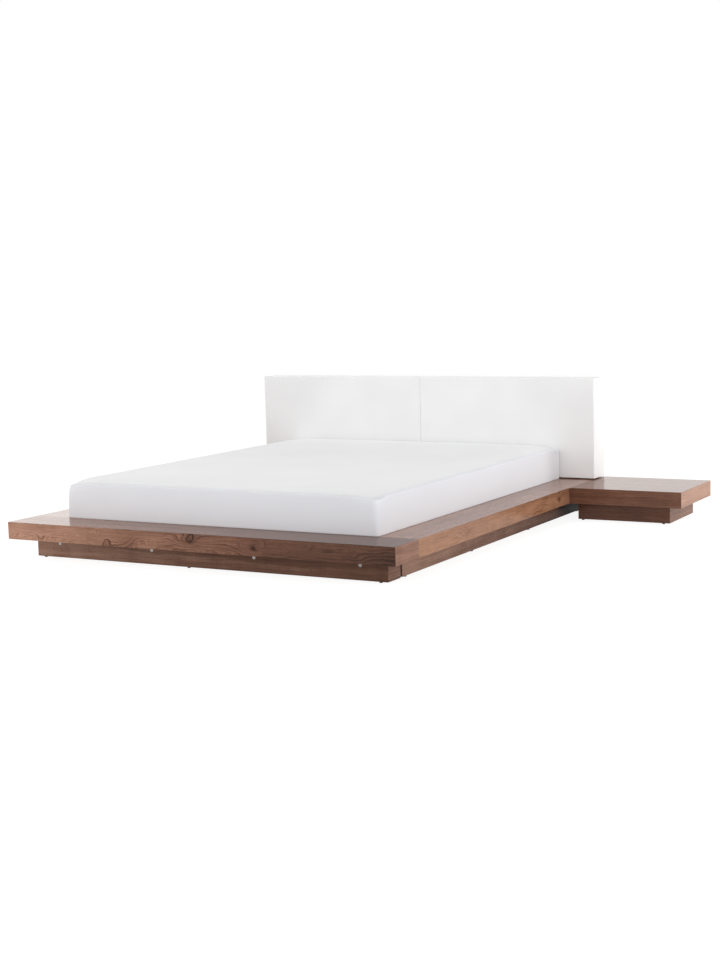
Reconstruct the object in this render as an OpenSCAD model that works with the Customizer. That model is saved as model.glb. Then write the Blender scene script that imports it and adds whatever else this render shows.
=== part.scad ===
// Low platform double bed: veneered box platform, slatted base, two bedside tables,
// a two-part padded headboard and a loose mattress.
// Millimetres, Z up, floor at Z = 0. The foot faces -Y and the head is at +Y.
// The origin is on the floor under the middle of the bed. "Right" is +X.

/* [Mattress] */
// Width of the mattress
mattress_w = 1600; // [1200:10:2000]
// Length of the mattress
mattress_l = 2000; // [1800:10:2200]
// Height of the mattress at its crown
mattress_h = 214; // [140:2:280]
// How far the middle of the top stands above its edges
mattress_crown = 14; // [1:1:24]
// Rounding of the top edge
mattress_top_r = 20; // [15:1:40]
// Rounding of the bottom edge
mattress_bottom_r = 12; // [6:1:20]
// Rounding of the upright corners, seen from above
mattress_corner_r = 30; // [20:5:120]
// How far the border is drawn in at its top and bottom seams
mattress_draw = 4; // [1:1:8]
// Thickness of the quilted cover
mattress_cover_t = 20; // [12:1:22]
// Thickness of the base cloth
base_cloth_t = 2; // [1:0.5:5]
// Room between the mattress and each side rail
side_gap = 5; // [2:1:15]
// Room between the mattress and the foot beam
foot_gap = 3; // [2:1:15]
// Room between the mattress and the head beam
head_gap = 4; // [2:1:15]

/* [Platform] */
// Height of the platform's edge
edge_h = 78; // [60:1:140]
// Width of a side rail
rail_w = 185; // [150:1:260]
// Depth of the foot beam
foot_d = 205; // [170:1:300]
// Thickness of the veneered boards
board_t = 18; // [16:1:22]
// Thickness of the closing panels under the boxes
panel_t = 12; // [12:1:16]

/* [Plinths] */
// Height of the plinth boards
plinth_h = 87; // [70:1:140]
// Height of the glides under the plinths
glide_h = 5; // [3:0.5:10]
// Radius of a glide
glide_r = 8; // [5:0.5:9]
// Setback of the front plinth behind the foot of the bed
front_setback = 98; // [60:1:120]
// Setback of each end of the front plinth
front_plinth_inset = 86; // [50:1:120]
// Setback of each side plinth
side_plinth_inset = 89; // [50:1:120]
// Setback of the side plinths at the head
rear_setback = 98; // [60:1:120]
// Gap between the front plinth and each side plinth
plinth_gap = 22; // [5:1:60]
// Distance of the first side glide behind the side plinth's front
side_glide_in = 38; // [15:1:80]
// Number of glides along each side plinth board
side_glide_count = 4; // [2:1:8]
// Distance of an end glide from the end of the front plinth
front_glide_in = 38; // [25:1:80]
// Place of the middle front glide, from the middle of the bed
middle_glide_x = -75; // [-200:5:200]
// Place of the rear glides, from the middle of the bed
rear_glide_x = 600; // [100:10:700]

/* [Slatted base] */
// Number of slats
slat_count = 14; // [10:1:18]
// Width of a slat
slat_w = 80; // [50:1:90]
// Thickness of a slat
slat_t = 18; // [14:1:24]
// Room between a slat's end and the rail
slat_end_gap = 5; // [1:1:10]
// Width of a slat cleat
cleat_w = 25; // [20:1:40]
// Height of a slat cleat
cleat_h = 25; // [20:1:30]
// Width of the centre beam
beam_w = 45; // [30:1:80]
// Height of the centre beam
beam_h = 70; // [50:1:80]
// Radius of a centre leg
leg_r = 20; // [15:1:30]
// Number of centre legs
leg_count = 3; // [1:1:4]
// Height of the pad under a centre leg
leg_pad_h = 8; // [4:1:12]
// Metal thickness of the beam hangers
hanger_t = 2; // [1.5:0.5:4]
// Reach of a beam hanger along the beam
hanger_reach = 40; // [25:1:60]

/* [Bedside tables] */
// Width of a table top
table_w = 570; // [540:5:700]
// Depth of a table top
table_d = 490; // [400:5:600]
// Gap between the rail and the table's base
base_gap = 18; // [18:1:40]
// Width of a table's base
base_w = 472; // [350:1:480]
// Setback of the base behind the table's front
base_front_inset = 75; // [40:1:120]
// Setback of the base at the table's back
base_back_inset = 35; // [10:1:80]
// Distance of a table glide from the base's inner end
table_glide_inner = 22; // [15:1:60]
// Distance of a table glide from the base's outer end
table_glide_outer = 34; // [15:1:60]
// Reach of the bracket that ties a table to the rail
link_w = 68; // [50:1:90]
// Depth of that bracket
link_d = 60; // [30:1:90]
// Height of that bracket
link_h = 40; // [25:1:60]
// Metal thickness of that bracket
link_t = 3; // [2:0.5:5]

/* [Headboard] */
// Height of the headboard
headboard_h = 516; // [300:1:900]
// Thickness of the headboard
headboard_t = 150; // [120:1:200]
// How far the headboard reaches past each rail
headboard_over = 5; // [0:1:30]
// Height of the shadow gap under the headboard
shadow_gap = 5; // [3:1:12]
// Thickness of the front padding
pad_t = 30; // [20:1:45]
// Thickness of the padding on the top and ends
wrap_t = 12; // [10:1:14]
// Crown of the padded front
pad_crown = 4; // [1:1:8]
// Rounding of the padded front edges
pad_edge_r = 9; // [5:1:10]
// Gap at the seam between the two halves
seam_gap = 1; // [0.6:0.2:3]
// Thickness of the timbers in the headboard's frame
timber_t = 30; // [25:1:45]
// Thickness of the headboard's front and back panels
skin_t = 9; // [6:1:12]

/* [Fittings] */
// Radius of a cam lock
cam_r = 7.5; // [7:0.5:8]
// Length of a cam lock
cam_l = 12.5; // [12:0.5:13.5]
// Distance of a cam lock below the top of its board
cam_drop = 24; // [20:1:34]
// Radius of a cam bolt's shank
cam_bolt_r = 3.5; // [3:0.5:4]
// How far a cam bolt is screwed into the piece above
cam_bolt_in = 10; // [8:0.5:11]
// Distance of the outer front cams from the ends of the front plinth
front_cam_in = 128; // [60:1:200]
// Place of the inner front cams, from the middle of the bed
front_cam_x = 265; // [100:1:350]
// Number of cam locks along each side plinth
side_cam_count = 4; // [2:1:6]
// Place of the rear cams, from the middle of the bed
rear_cam_x = 400; // [100:10:500]
// Place of the table cams, from the middle of the base
table_cam_x = 130; // [60:5:150]
// Radius of the frame bolts
bolt_r = 4; // [3:0.5:5]
// Spacing of each pair of frame bolts
bolt_pitch = 70; // [50:5:80]
// Place of the inner headboard bolts, from the middle of the bed
headboard_bolt_x = 120; // [60:5:300]
// Distance of the outer headboard bolts from the rail's middle, towards the bed
headboard_bolt_off = 15; // [0:1:30]
// Spacing of each pair of headboard bolts
headboard_bolt_pitch = 50; // [40:1:60]
// Depth of a headboard bolt in the bottom timber
headboard_bolt_in = 22; // [15:1:24]
// Radius of a slat screw
screw_r = 2; // [1.5:0.25:2.5]
// Length of a slat screw
screw_l = 30; // [25:1:38]

/* [Hidden] */
// Clearance of a bolt, pin or cam in its hole
fit = 0.1;
// Clearance of a soft piece from its neighbours
soft_gap = 0.3;
// Largest radius of a bolt's hexagon, in shank radii
head_across = 1.8;
// Overshoot of a cut, so that no skin is left
cut = 1;

// Heights
beam_z = glide_h + plinth_h;
top_z = beam_z + edge_h;
seat_z = beam_z + cleat_h;
slat_top_z = seat_z + slat_t;
cam_z = beam_z - cam_drop;
mattress_z = slat_top_z + soft_gap;
headboard_z = top_z + shadow_gap;

// Plan
recess_x = mattress_w / 2 + side_gap;
side_x = recess_x + rail_w;
recess_l = foot_gap + mattress_l + head_gap;
foot_y = -(foot_d + recess_l + headboard_t) / 2;
recess_y = foot_y + foot_d;
head_y = recess_y + recess_l;
back_y = head_y + headboard_t;

// Plinths
plinth_y = foot_y + front_setback;
front_plinth_x = side_x - front_plinth_inset;
side_plinth_x = side_x - side_plinth_inset;
side_plinth_y0 = recess_y + plinth_gap;
side_plinth_y1 = back_y - rear_setback;

// Bedside table and its base, on the right
table_x = side_x + table_w;
table_y = back_y - table_d;
base_x0 = side_x + base_gap;
base_x1 = base_x0 + base_w;
base_y0 = table_y + base_front_inset;
base_y1 = back_y - base_back_inset;

// Headboard half, on the right, and the box left inside its padding
half_x0 = seam_gap / 2;
half_x1 = side_x + headboard_over;
inner_x0 = half_x0 + wrap_t;
inner_x1 = half_x1 - wrap_t;
inner_y0 = head_y + pad_t;
inner_z1 = headboard_z + headboard_h - wrap_t;
core_x0 = inner_x0 + soft_gap;
core_x1 = inner_x1 - soft_gap;
core_y0 = inner_y0 + soft_gap;
core_z1 = inner_z1 - soft_gap;
timber_y0 = core_y0 + skin_t;
timber_y1 = back_y - skin_t;

// Slats and centre beam
slat_pitch = recess_l / slat_count;
beam_z0 = seat_z - beam_h;
leg_stud_r = 5;
leg_stud_l = 25;

// Fittings
bolt_head_h = 5.3;
nut_h = 6.5;
bolt_end = 3;
cam_neck_r = 2;
cam_slot_w = 2 * (cam_bolt_r + 3 * fit);
spacer_r = 15;
// Facets of bores and bolts
$fn = 32;

// Cam places as [x, y, turn]: the cam goes into the board along its own +Y
outer_cam_x = front_plinth_x - front_cam_in;
front_cams = [for (x = [-outer_cam_x, -front_cam_x, front_cam_x, outer_cam_x]) [x, plinth_y, 0]];
side_cam_y = [for (i = [0.5:side_cam_count])
    side_plinth_y0 + (side_plinth_y1 - side_plinth_y0) * i / side_cam_count];
right_cams = [for (y = side_cam_y) [recess_x, y, -90]];
left_cams = [for (y = side_cam_y) [-recess_x, y, 90]];
rear_cams = [for (x = [-rear_cam_x, rear_cam_x]) [x, head_y, 0]];
base_mid_x = (base_x0 + base_x1) / 2;
table_cam_xs = [base_mid_x - table_cam_x, base_mid_x + table_cam_x];
table_cams = [for (x = table_cam_xs) each [[x, base_y0 + board_t, 180], [x, base_y1 - board_t, 0]]];

// Glide places as [x, y]
front_glide_x = front_plinth_x - front_glide_in;
side_glide_y = [for (i = [0:side_glide_count - 1]) side_plinth_y0 + side_glide_in
    + (side_plinth_y1 - side_plinth_y0 - 2 * side_glide_in) * i / (side_glide_count - 1)];
front_glides = [for (x = [-front_glide_x, middle_glide_x, front_glide_x])
    each [[x, plinth_y + board_t / 2], [x, recess_y - board_t / 2]]];
side_glides = [for (y = side_glide_y)
    each [[side_plinth_x - board_t / 2, y], [recess_x + board_t / 2, y]]];
table_glides = [for (x = [base_x0 + table_glide_inner, base_x1 - table_glide_outer])
    each [[x, base_y0 + board_t / 2], [x, base_y1 - board_t / 2]]];
rear_glides = [for (x = [-rear_glide_x, rear_glide_x]) [x, head_y + board_t / 2]];

// Frame bolts: two through each rail's front end board, two through each end of the head beam
rail_mid_x = recess_x + rail_w / 2;
bolt_z = beam_z + (edge_h - board_t) / 2;
head_mid_y = (head_y + back_y) / 2;

// Headboard bolts
outer_bolt_x = rail_mid_x - headboard_bolt_off;
timber_mid_y = (timber_y0 + timber_y1) / 2;
headboard_bolts_xy = [for (x = [-outer_bolt_x, -headboard_bolt_x, headboard_bolt_x, outer_bolt_x])
    each [for (s = [-0.5, 0.5]) [x, timber_mid_y + s * headboard_bolt_pitch]]];

// Slat screws: one over each cleat and one over the centre beam
slat_screw_x = [-(recess_x - cleat_w / 2), 0, recess_x - cleat_w / 2];

// Shapes that repeat

// A box from one corner to the other
module box(a, b) {
    translate(a) cube(b - a);
}

// An outline of [y, z] points, extruded along X
module along_x(x0, x1, outline) {
    translate([x0, 0, 0]) rotate([90, 0, 90]) linear_extrude(x1 - x0) polygon(outline);
}

// An outline of [x, z] points, extruded along Y
module along_y(y0, y1, outline) {
    translate([0, y1, 0]) rotate([90, 0, 0]) linear_extrude(y1 - y0) polygon(outline);
}

// An outline of [x, y] points, extruded along Z
module along_z(z0, z1, outline) {
    translate([0, 0, z0]) linear_extrude(z1 - z0) polygon(outline);
}

// The same thing on the left side
module left() {
    mirror([1, 0, 0]) children();
}

// The thing and its mirror image
module both() {
    children();
    left() children();
}

// The holes that a row of cams and their bolts need, in the board and in the piece above it
module cam_holes(cams) {
    for (c = cams) translate([c.x, c.y, 0]) rotate(c.z) {
        translate([0, -cut, cam_z]) rotate([-90, 0, 0]) cylinder(r = cam_r + fit, h = cam_l + cut + fit);
        translate([0, board_t / 2, cam_z])
            cylinder(r = cam_bolt_r + fit, h = cam_drop + cam_bolt_in + fit);
    }
}

// A hex-headed bolt with its nut, along +Z from the face its head sits on, through a grip
module bolt(grip, nut = true) {
    translate([0, 0, -bolt_head_h]) cylinder(r = bolt_r * head_across, h = bolt_head_h, $fn = 6);
    cylinder(r = bolt_r, h = grip + (nut ? nut_h + bolt_end : 0));
    if (nut) translate([0, 0, grip]) difference() {
        cylinder(r = bolt_r * head_across, h = nut_h, $fn = 6);
        translate([0, 0, -cut]) cylinder(r = bolt_r + fit, h = nut_h + 2 * cut);
    }
}

// Places the frame bolts' line: +Z of the child runs from the head's face through two boards
module at_frame_bolts() {
    for (s = [-0.5, 0.5]) both() {
        translate([rail_mid_x + s * bolt_pitch, recess_y - board_t, bolt_z]) rotate([-90, 0, 0]) children();
        translate([recess_x - board_t, head_mid_y + s * bolt_pitch, bolt_z]) rotate([0, 90, 0]) children();
    }
}

// The holes for the frame bolts
module frame_bolt_holes() {
    at_frame_bolts() translate([0, 0, -cut]) cylinder(r = bolt_r + fit, h = 2 * (board_t + cut));
}

// The holes for the headboard bolts
module headboard_bolt_holes() {
    for (p = headboard_bolts_xy) translate([p.x, p.y, top_z - board_t - cut])
        cylinder(r = bolt_r + fit, h = board_t + cut + shadow_gap + headboard_bolt_in + fit);
}

// Soft forms: rings of points around a rounded block, joined by triangles

// Steps round one corner of a ring
corner_n = 5;
// Points along one straight side of a ring
side_n = 5;
// Points in a ring
ring_n = 4 * (corner_n + 1 + side_n);

function corner_points(c, r, a0) = [for (i = [0:corner_n])
    c + r * [cos(a0 + i * 90 / corner_n), sin(a0 + i * 90 / corner_n)]];

// The middle of a side is drawn in by bow
function side_points(p, q, bow) = let (d = q - p, inward = [-d.y, d.x] / norm(d))
    [for (i = [1:side_n]) p + d * i / (side_n + 1) + inward * bow * sin(180 * i / (side_n + 1))];

function ring(a, b, r, bow) = let (
    centres = [[a - r, b - r], [r - a, b - r], [r - a, r - b], [a - r, r - b]],
    corners = [for (i = [0:3]) corner_points(centres[i], r, 90 * i)])
    [for (i = [0:3])
        each concat(corners[i], side_points(corners[i][corner_n], corners[(i + 1) % 4][0], bow))];

// A block of half widths a and b: its profile is a list of [inset, height], its top rises to a crown
module soft_block(a, b, corner_r, bow, profile, crown) {
    last = profile[len(profile) - 1];
    shrink = [0.96, 0.86, 0.7, 0.48, 0.24];
    walls = [for (p = profile) [for (q = ring(a - p[0], b - p[0], corner_r, bow)) [q.x, q.y, p[1]]]];
    lid = [for (s = shrink) [for (q = ring(a - last[0], b - last[0], corner_r, bow))
        [q.x * s, q.y * s, last[1] + crown * (1 - pow(s, 4))]]];
    rings = concat(walls, lid);
    rows = len(rings);
    points = concat([for (r = rings) each r], [[0, 0, profile[0][1]], [0, 0, last[1] + crown]]);
    low = rows * ring_n;
    sides = [for (i = [0:rows - 2], j = [0:ring_n - 1]) let (k = (j + 1) % ring_n,
        p = i * ring_n + j, q = i * ring_n + k) each [[p, p + ring_n, q + ring_n], [p, q + ring_n, q]]];
    floor_fan = [for (j = [0:ring_n - 1]) [low, j, (j + 1) % ring_n]];
    top_fan = [for (j = [0:ring_n - 1]) let (s = (rows - 1) * ring_n)
        [low + 1, s + (j + 1) % ring_n, s + j]];
    polyhedron(points, concat(sides, floor_fan, top_fan), convexity = 4);
}

// Profile of a block of height h whose wall is drawn in at both seams and rounded at both ends
function soft_profile(h, low_r, high_r, draw) = concat(
    [for (t = [0:30:60]) [draw + low_r * (1 - sin(t)), low_r * (1 - cos(t))]],
    [for (u = [0:0.25:1]) [draw * (1 - sin(180 * u)), low_r + (h - low_r - high_r) * u]],
    [for (t = [18:18:90]) [draw + high_r * (1 - cos(t)), h - high_r + high_r * sin(t)]]);

// Foot beam

module foot_top() {
    color("#8a6353") intersection() {
        along_x(-side_x, side_x, [[foot_y, top_z], [recess_y, top_z],
            [recess_y, top_z - board_t], [foot_y + board_t, top_z - board_t]]);
        along_y(foot_y, recess_y, [[-side_x, top_z], [side_x, top_z],
            [side_x - board_t, top_z - board_t], [board_t - side_x, top_z - board_t]]);
    }
}

module foot_fascia() {
    color("#7d4f3a") intersection() {
        along_x(-side_x, side_x, [[foot_y, beam_z], [foot_y, top_z],
            [foot_y + board_t, top_z - board_t], [foot_y + board_t, beam_z]]);
        along_z(beam_z, top_z, [[-side_x, foot_y], [side_x, foot_y],
            [side_x - board_t, foot_y + board_t], [board_t - side_x, foot_y + board_t]]);
    }
}

module foot_end_boards() {
    color("#8f6650") both() intersection() {
        along_y(foot_y, recess_y, [[side_x, beam_z], [side_x, top_z],
            [side_x - board_t, top_z - board_t], [side_x - board_t, beam_z]]);
        along_z(beam_z, top_z, [[side_x, foot_y], [side_x, recess_y],
            [side_x - board_t, recess_y], [side_x - board_t, foot_y + board_t]]);
    }
}

module foot_inner_board() {
    color("#6e4a3a") difference() {
        box([board_t - side_x, recess_y - board_t, beam_z], [side_x - board_t, recess_y, top_z - board_t]);
        frame_bolt_holes();
    }
}

module foot_bottom_panel() {
    color("#9a7a5e") difference() {
        box([board_t - side_x, foot_y + board_t, beam_z],
            [side_x - board_t, recess_y - board_t, beam_z + panel_t]);
        cam_holes(front_cams);
    }
}

// Side rails

module rail_top() {
    color("#8a6353") difference() {
        along_y(recess_y, back_y, [[recess_x, top_z], [side_x, top_z],
            [side_x - board_t, top_z - board_t], [recess_x, top_z - board_t]]);
        headboard_bolt_holes();
    }
}

module rail_fascia() {
    color("#8f5f46") along_y(recess_y, back_y, [[side_x, beam_z], [side_x, top_z],
        [side_x - board_t, top_z - board_t], [side_x - board_t, beam_z]]);
}

module rail_inner_boards() {
    color("#6e4a3a") both() difference() {
        box([recess_x, recess_y, beam_z], [recess_x + board_t, back_y, top_z - board_t]);
        frame_bolt_holes();
        cam_holes(right_cams);
    }
}

module rail_bottom_panels() {
    color("#9a7a5e") both() box([recess_x + board_t, recess_y + board_t, beam_z],
        [side_x - board_t, back_y - board_t, beam_z + panel_t]);
}

module rail_end_boards() {
    color("#7a5644") difference() {
        both() for (y = [recess_y, back_y - board_t])
            box([recess_x + board_t, y, beam_z], [side_x - board_t, y + board_t, top_z - board_t]);
        frame_bolt_holes();
    }
}

// Head beam, under the headboard

module head_top() {
    color("#8a6353") difference() {
        box([-recess_x, head_y, top_z - board_t], [recess_x, back_y, top_z]);
        headboard_bolt_holes();
    }
}

module head_front_board() {
    color("#6e4a3a") difference() {
        box([-recess_x, head_y, beam_z], [recess_x, head_y + board_t, top_z - board_t]);
        cam_holes(rear_cams);
    }
}

module head_back_board() {
    color("#7a5644") box([-recess_x, back_y - board_t, beam_z], [recess_x, back_y, top_z - board_t]);
}

module head_end_boards() {
    color("#9a7a5e") difference() {
        both() box([recess_x - board_t, head_y + board_t, beam_z],
            [recess_x, back_y - board_t, top_z - board_t]);
        frame_bolt_holes();
    }
}

// Plinths

module front_plinth_face() {
    color("#5c4236") difference() {
        along_z(glide_h, beam_z, [[-front_plinth_x, plinth_y], [front_plinth_x, plinth_y],
            [front_plinth_x - board_t, plinth_y + board_t],
            [board_t - front_plinth_x, plinth_y + board_t]]);
        cam_holes(front_cams);
    }
}

module front_plinth_ends() {
    color("#6b4d3e") both() along_z(glide_h, beam_z,
        [[front_plinth_x, plinth_y], [front_plinth_x, recess_y],
        [front_plinth_x - board_t, recess_y], [front_plinth_x - board_t, plinth_y + board_t]]);
}

module front_plinth_back() {
    color("#5c4236") box([board_t - front_plinth_x, recess_y - board_t, glide_h],
        [front_plinth_x - board_t, recess_y, beam_z]);
}

module side_plinth() {
    color("#84685a") box([side_plinth_x - board_t, side_plinth_y0, glide_h],
        [side_plinth_x, side_plinth_y1, beam_z]);
}

module side_plinth_inner_boards() {
    color("#5c4236") both() difference() {
        box([recess_x, side_plinth_y0, glide_h], [recess_x + board_t, side_plinth_y1, beam_z]);
        cam_holes(right_cams);
    }
}

module side_plinth_ends() {
    color("#5c4236") both() for (y = [side_plinth_y0, side_plinth_y1 - board_t])
        box([recess_x + board_t, y, glide_h], [side_plinth_x - board_t, y + board_t, beam_z]);
}

module rear_plinth() {
    color("#5c4236") difference() {
        box([-recess_x, head_y, glide_h], [recess_x, head_y + board_t, beam_z]);
        cam_holes(rear_cams);
    }
}

// Slatted base

module centre_beam() {
    color("#d9bd8c") difference() {
        box([-beam_w / 2, recess_y + hanger_t, beam_z0], [beam_w / 2, head_y - hanger_t, seat_z]);
        at_legs() translate([0, 0, beam_z0 - cut])
            cylinder(r = leg_stud_r + fit, h = leg_stud_l + cut + fit);
        slat_screw_holes();
    }
}

module beam_hangers() {
    outer = beam_w / 2 + fit + hanger_t;
    color("silver") for (end = [0, 1])
        translate([0, end ? head_y : recess_y, 0]) mirror([0, end, 0]) difference() {
            box([-outer, 0, beam_z0 - hanger_t], [outer, hanger_reach, seat_z]);
            box([-beam_w / 2 - fit, hanger_t, beam_z0],
                [beam_w / 2 + fit, hanger_reach + cut, seat_z + cut]);
        }
}

module at_legs() {
    for (i = [1:leg_count]) translate([0, recess_y + recess_l * i / (leg_count + 1), 0]) children();
}

module centre_legs() {
    color("#3a3a3a") at_legs() {
        translate([0, 0, leg_pad_h]) cylinder(r = leg_r, h = beam_z0 - leg_pad_h);
        translate([0, 0, leg_pad_h + cut])
            cylinder(r = leg_stud_r, h = beam_z0 - leg_pad_h - cut + leg_stud_l);
    }
}

module leg_pads() {
    rim = 2;
    color("#202020") at_legs() cylinder(r = leg_r + rim, h = leg_pad_h);
}

module slat_cleats() {
    color("#d2b380") difference() {
        both() box([recess_x - cleat_w, recess_y, beam_z], [recess_x, head_y, seat_z]);
        slat_screw_holes();
    }
}

module at_slat_screws() {
    for (i = [0.5:slat_count], x = slat_screw_x) translate([x, recess_y + slat_pitch * i, slat_top_z])
        children();
}

// A countersunk screw hanging down from its head's face, grown by a clearance
module slat_screw(grow) {
    head_h = screw_r;
    translate([0, 0, -head_h]) cylinder(r1 = screw_r + grow, r2 = 2 * screw_r + grow, h = head_h);
    translate([0, 0, -screw_l - grow]) cylinder(r = screw_r + grow, h = screw_l + grow);
}

module slat_screw_holes() {
    at_slat_screws() slat_screw(fit);
}

module slats() {
    slat_x = recess_x - slat_end_gap;
    color("#e0c596") difference() {
        for (i = [0.5:slat_count]) translate([0, recess_y + slat_pitch * i, 0])
            box([-slat_x, -slat_w / 2, seat_z], [slat_x, slat_w / 2, slat_top_z]);
        slat_screw_holes();
    }
}

// Bedside tables, drawn on the right

module table_top() {
    color("#b49a8c") intersection() {
        along_y(table_y, back_y, [[side_x, top_z], [table_x, top_z],
            [table_x - board_t, top_z - board_t], [side_x, top_z - board_t]]);
        along_x(side_x, table_x, [[table_y, top_z], [back_y, top_z],
            [back_y, top_z - board_t], [table_y + board_t, top_z - board_t]]);
    }
}

module table_front() {
    color("#5a3726") intersection() {
        along_x(side_x, table_x, [[table_y, beam_z], [table_y, top_z],
            [table_y + board_t, top_z - board_t], [table_y + board_t, beam_z]]);
        along_z(beam_z, top_z, [[side_x, table_y], [table_x, table_y],
            [table_x - board_t, table_y + board_t], [side_x, table_y + board_t]]);
    }
}

module table_side() {
    color("#a5836f") intersection() {
        along_y(table_y, back_y, [[table_x, beam_z], [table_x, top_z],
            [table_x - board_t, top_z - board_t], [table_x - board_t, beam_z]]);
        along_z(beam_z, top_z, [[table_x, table_y], [table_x, back_y],
            [table_x - board_t, back_y], [table_x - board_t, table_y + board_t]]);
    }
}

module table_back_boards() {
    color("#7a5644") both()
        box([side_x, back_y - board_t, beam_z], [table_x - board_t, back_y, top_z - board_t]);
}

module table_inner_boards() {
    color("#9a7a5e") both() box([side_x, table_y + board_t, beam_z],
        [side_x + board_t, back_y - board_t, top_z - board_t]);
}

module table_bottom_panels() {
    color("#9a7a5e") both() difference() {
        box([side_x + board_t, table_y + board_t, beam_z],
            [table_x - board_t, back_y - board_t, beam_z + panel_t]);
        cam_holes(table_cams);
    }
}

module table_base_fronts() {
    color("#4a3226") both() difference() {
        along_z(glide_h, beam_z, [[base_x0, base_y0], [base_x1, base_y0],
            [base_x1 - board_t, base_y0 + board_t], [base_x0 + board_t, base_y0 + board_t]]);
        cam_holes(table_cams);
    }
}

module table_base_backs() {
    color("#5c4236") both() difference() {
        box([base_x0 + board_t, base_y1 - board_t, glide_h], [base_x1 - board_t, base_y1, beam_z]);
        cam_holes(table_cams);
    }
}

module table_base_sides() {
    color("#6f5a4c") both() for (side = [[base_x0, board_t], [base_x1, -board_t]])
        along_z(glide_h, beam_z, [[side[0], base_y0], [side[0], base_y1],
            [side[0] + side[1], base_y1], [side[0] + side[1], base_y0 + board_t]]);
}

// A bent plate under the rail and the table, with a web facing the foot
module table_brackets() {
    link_x0 = base_x0 - link_w;
    color("#4a4a46") both() {
        difference() {
            box([link_x0, base_y0, beam_z - link_h], [base_x0, base_y0 + link_d, beam_z]);
            box([link_x0 - cut, base_y0 + link_t, beam_z - link_h - cut],
                [base_x0 - link_t, base_y0 + link_d + cut, beam_z - link_t]);
        }
    }
}

// Headboard

module headboard_rails() {
    color("#d9bd8c") difference() {
        both() for (z = [headboard_z, core_z1 - timber_t])
            box([core_x0, timber_y0, z], [core_x1, timber_y1, z + timber_t]);
        headboard_bolt_holes();
    }
}

module headboard_stiles() {
    mid = (core_x0 + core_x1) / 2;
    color("#d2b380") both() for (x = [core_x0, mid - timber_t / 2, core_x1 - timber_t])
        box([x, timber_y0, headboard_z + timber_t], [x + timber_t, timber_y1, core_z1 - timber_t]);
}

module headboard_front_panels() {
    color("#c9ab7c") both() box([core_x0, core_y0, headboard_z], [core_x1, timber_y0, core_z1]);
}

module headboard_back_panels() {
    color("#e6e4e0") both() box([core_x0, timber_y1, headboard_z], [core_x1, back_y, core_z1]);
}

// Foam and cover that wrap the front, top and ends of one half
module headboard_cover() {
    half_w = (half_x1 - half_x0) / 2;
    back_edge_r = 4;
    corner_r = pad_edge_r + 1;
    side_bow = 1;
    color("#f0f0ee") difference() {
        translate([half_x0 + half_w, back_y, headboard_z + headboard_h / 2]) rotate([90, 0, 0])
            soft_block(half_w, headboard_h / 2, corner_r, side_bow,
                soft_profile(headboard_t - pad_crown, back_edge_r, pad_edge_r, 1), pad_crown);
        box([inner_x0, inner_y0, headboard_z - cut], [inner_x1, back_y + cut, inner_z1]);
    }
}

module headboard_spacers() {
    color("#2a2a2a") for (p = headboard_bolts_xy) translate([p.x, p.y, top_z]) difference() {
        cylinder(r = spacer_r, h = shadow_gap);
        translate([0, 0, -cut]) cylinder(r = bolt_r + fit, h = shadow_gap + 2 * cut);
    }
}

module headboard_bolts() {
    color("silver") for (p = headboard_bolts_xy) translate([p.x, p.y, top_z - board_t])
        bolt(board_t + shadow_gap + headboard_bolt_in, nut = false);
}

// Fittings

module cam_lock() {
    slot_depth = 2;
    slot_half = 0.8;
    arm = 0.6 * cam_r;
    difference() {
        rotate([-90, 0, 0]) cylinder(r = cam_r, h = cam_l);
        box([-cam_slot_w / 2, board_t / 2 - cam_slot_w / 2, -cam_slot_w / 2],
            [cam_slot_w / 2, board_t / 2 + cam_slot_w / 2, cam_r + cut]);
        box([-arm, -cut, -slot_half], [arm, slot_depth, slot_half]);
        box([-slot_half, -cut, -arm], [slot_half, slot_depth, arm]);
    }
}

module cam_bolt() {
    head_h = 3;
    neck_h = 6;
    cylinder(r = cam_bolt_r, h = head_h);
    cylinder(r = cam_neck_r, h = head_h + neck_h);
    translate([0, 0, head_h + neck_h - cut])
        cylinder(r = cam_bolt_r, h = cam_drop + cam_bolt_in - head_h - neck_h + cut);
}

module at_cams() {
    for (c = concat(front_cams, right_cams, left_cams, rear_cams)) translate([c.x, c.y, cam_z]) rotate(c.z)
        children();
    both() for (c = table_cams) translate([c.x, c.y, cam_z]) rotate(c.z) children();
}

module cam_locks() {
    color("#d8d6d0") at_cams() cam_lock();
}

module cam_bolts() {
    color("silver") at_cams() translate([0, board_t / 2, 0]) cam_bolt();
}

module frame_bolts() {
    color("silver") at_frame_bolts() bolt(2 * board_t);
}

module slat_screws() {
    color("silver") at_slat_screws() slat_screw(0);
}

module glides() {
    taper = 1.5;
    color("#2a2622") {
        for (p = concat(front_glides, rear_glides)) translate([p.x, p.y, 0])
            cylinder(r1 = glide_r - taper, r2 = glide_r, h = glide_h);
        both() for (p = concat(side_glides, table_glides)) translate([p.x, p.y, 0])
            cylinder(r1 = glide_r - taper, r2 = glide_r, h = glide_h);
    }
}

// Mattress, from its underside up

module in_mattress() {
    translate([0, recess_y + foot_gap + mattress_l / 2, mattress_z]) children();
}

core_half_x = mattress_w / 2 - mattress_cover_t - mattress_draw;
core_half_y = mattress_l / 2 - mattress_cover_t - mattress_draw;
core_top = mattress_h - mattress_crown - mattress_cover_t;

module mattress_cover() {
    side_bow = 2;
    color("#f2f2f2") in_mattress() difference() {
        soft_block(mattress_w / 2, mattress_l / 2, mattress_corner_r, side_bow,
            soft_profile(mattress_h - mattress_crown, mattress_bottom_r, mattress_top_r, mattress_draw),
            mattress_crown);
        box([-core_half_x, -core_half_y, -cut], [core_half_x, core_half_y, core_top]);
    }
}

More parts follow.
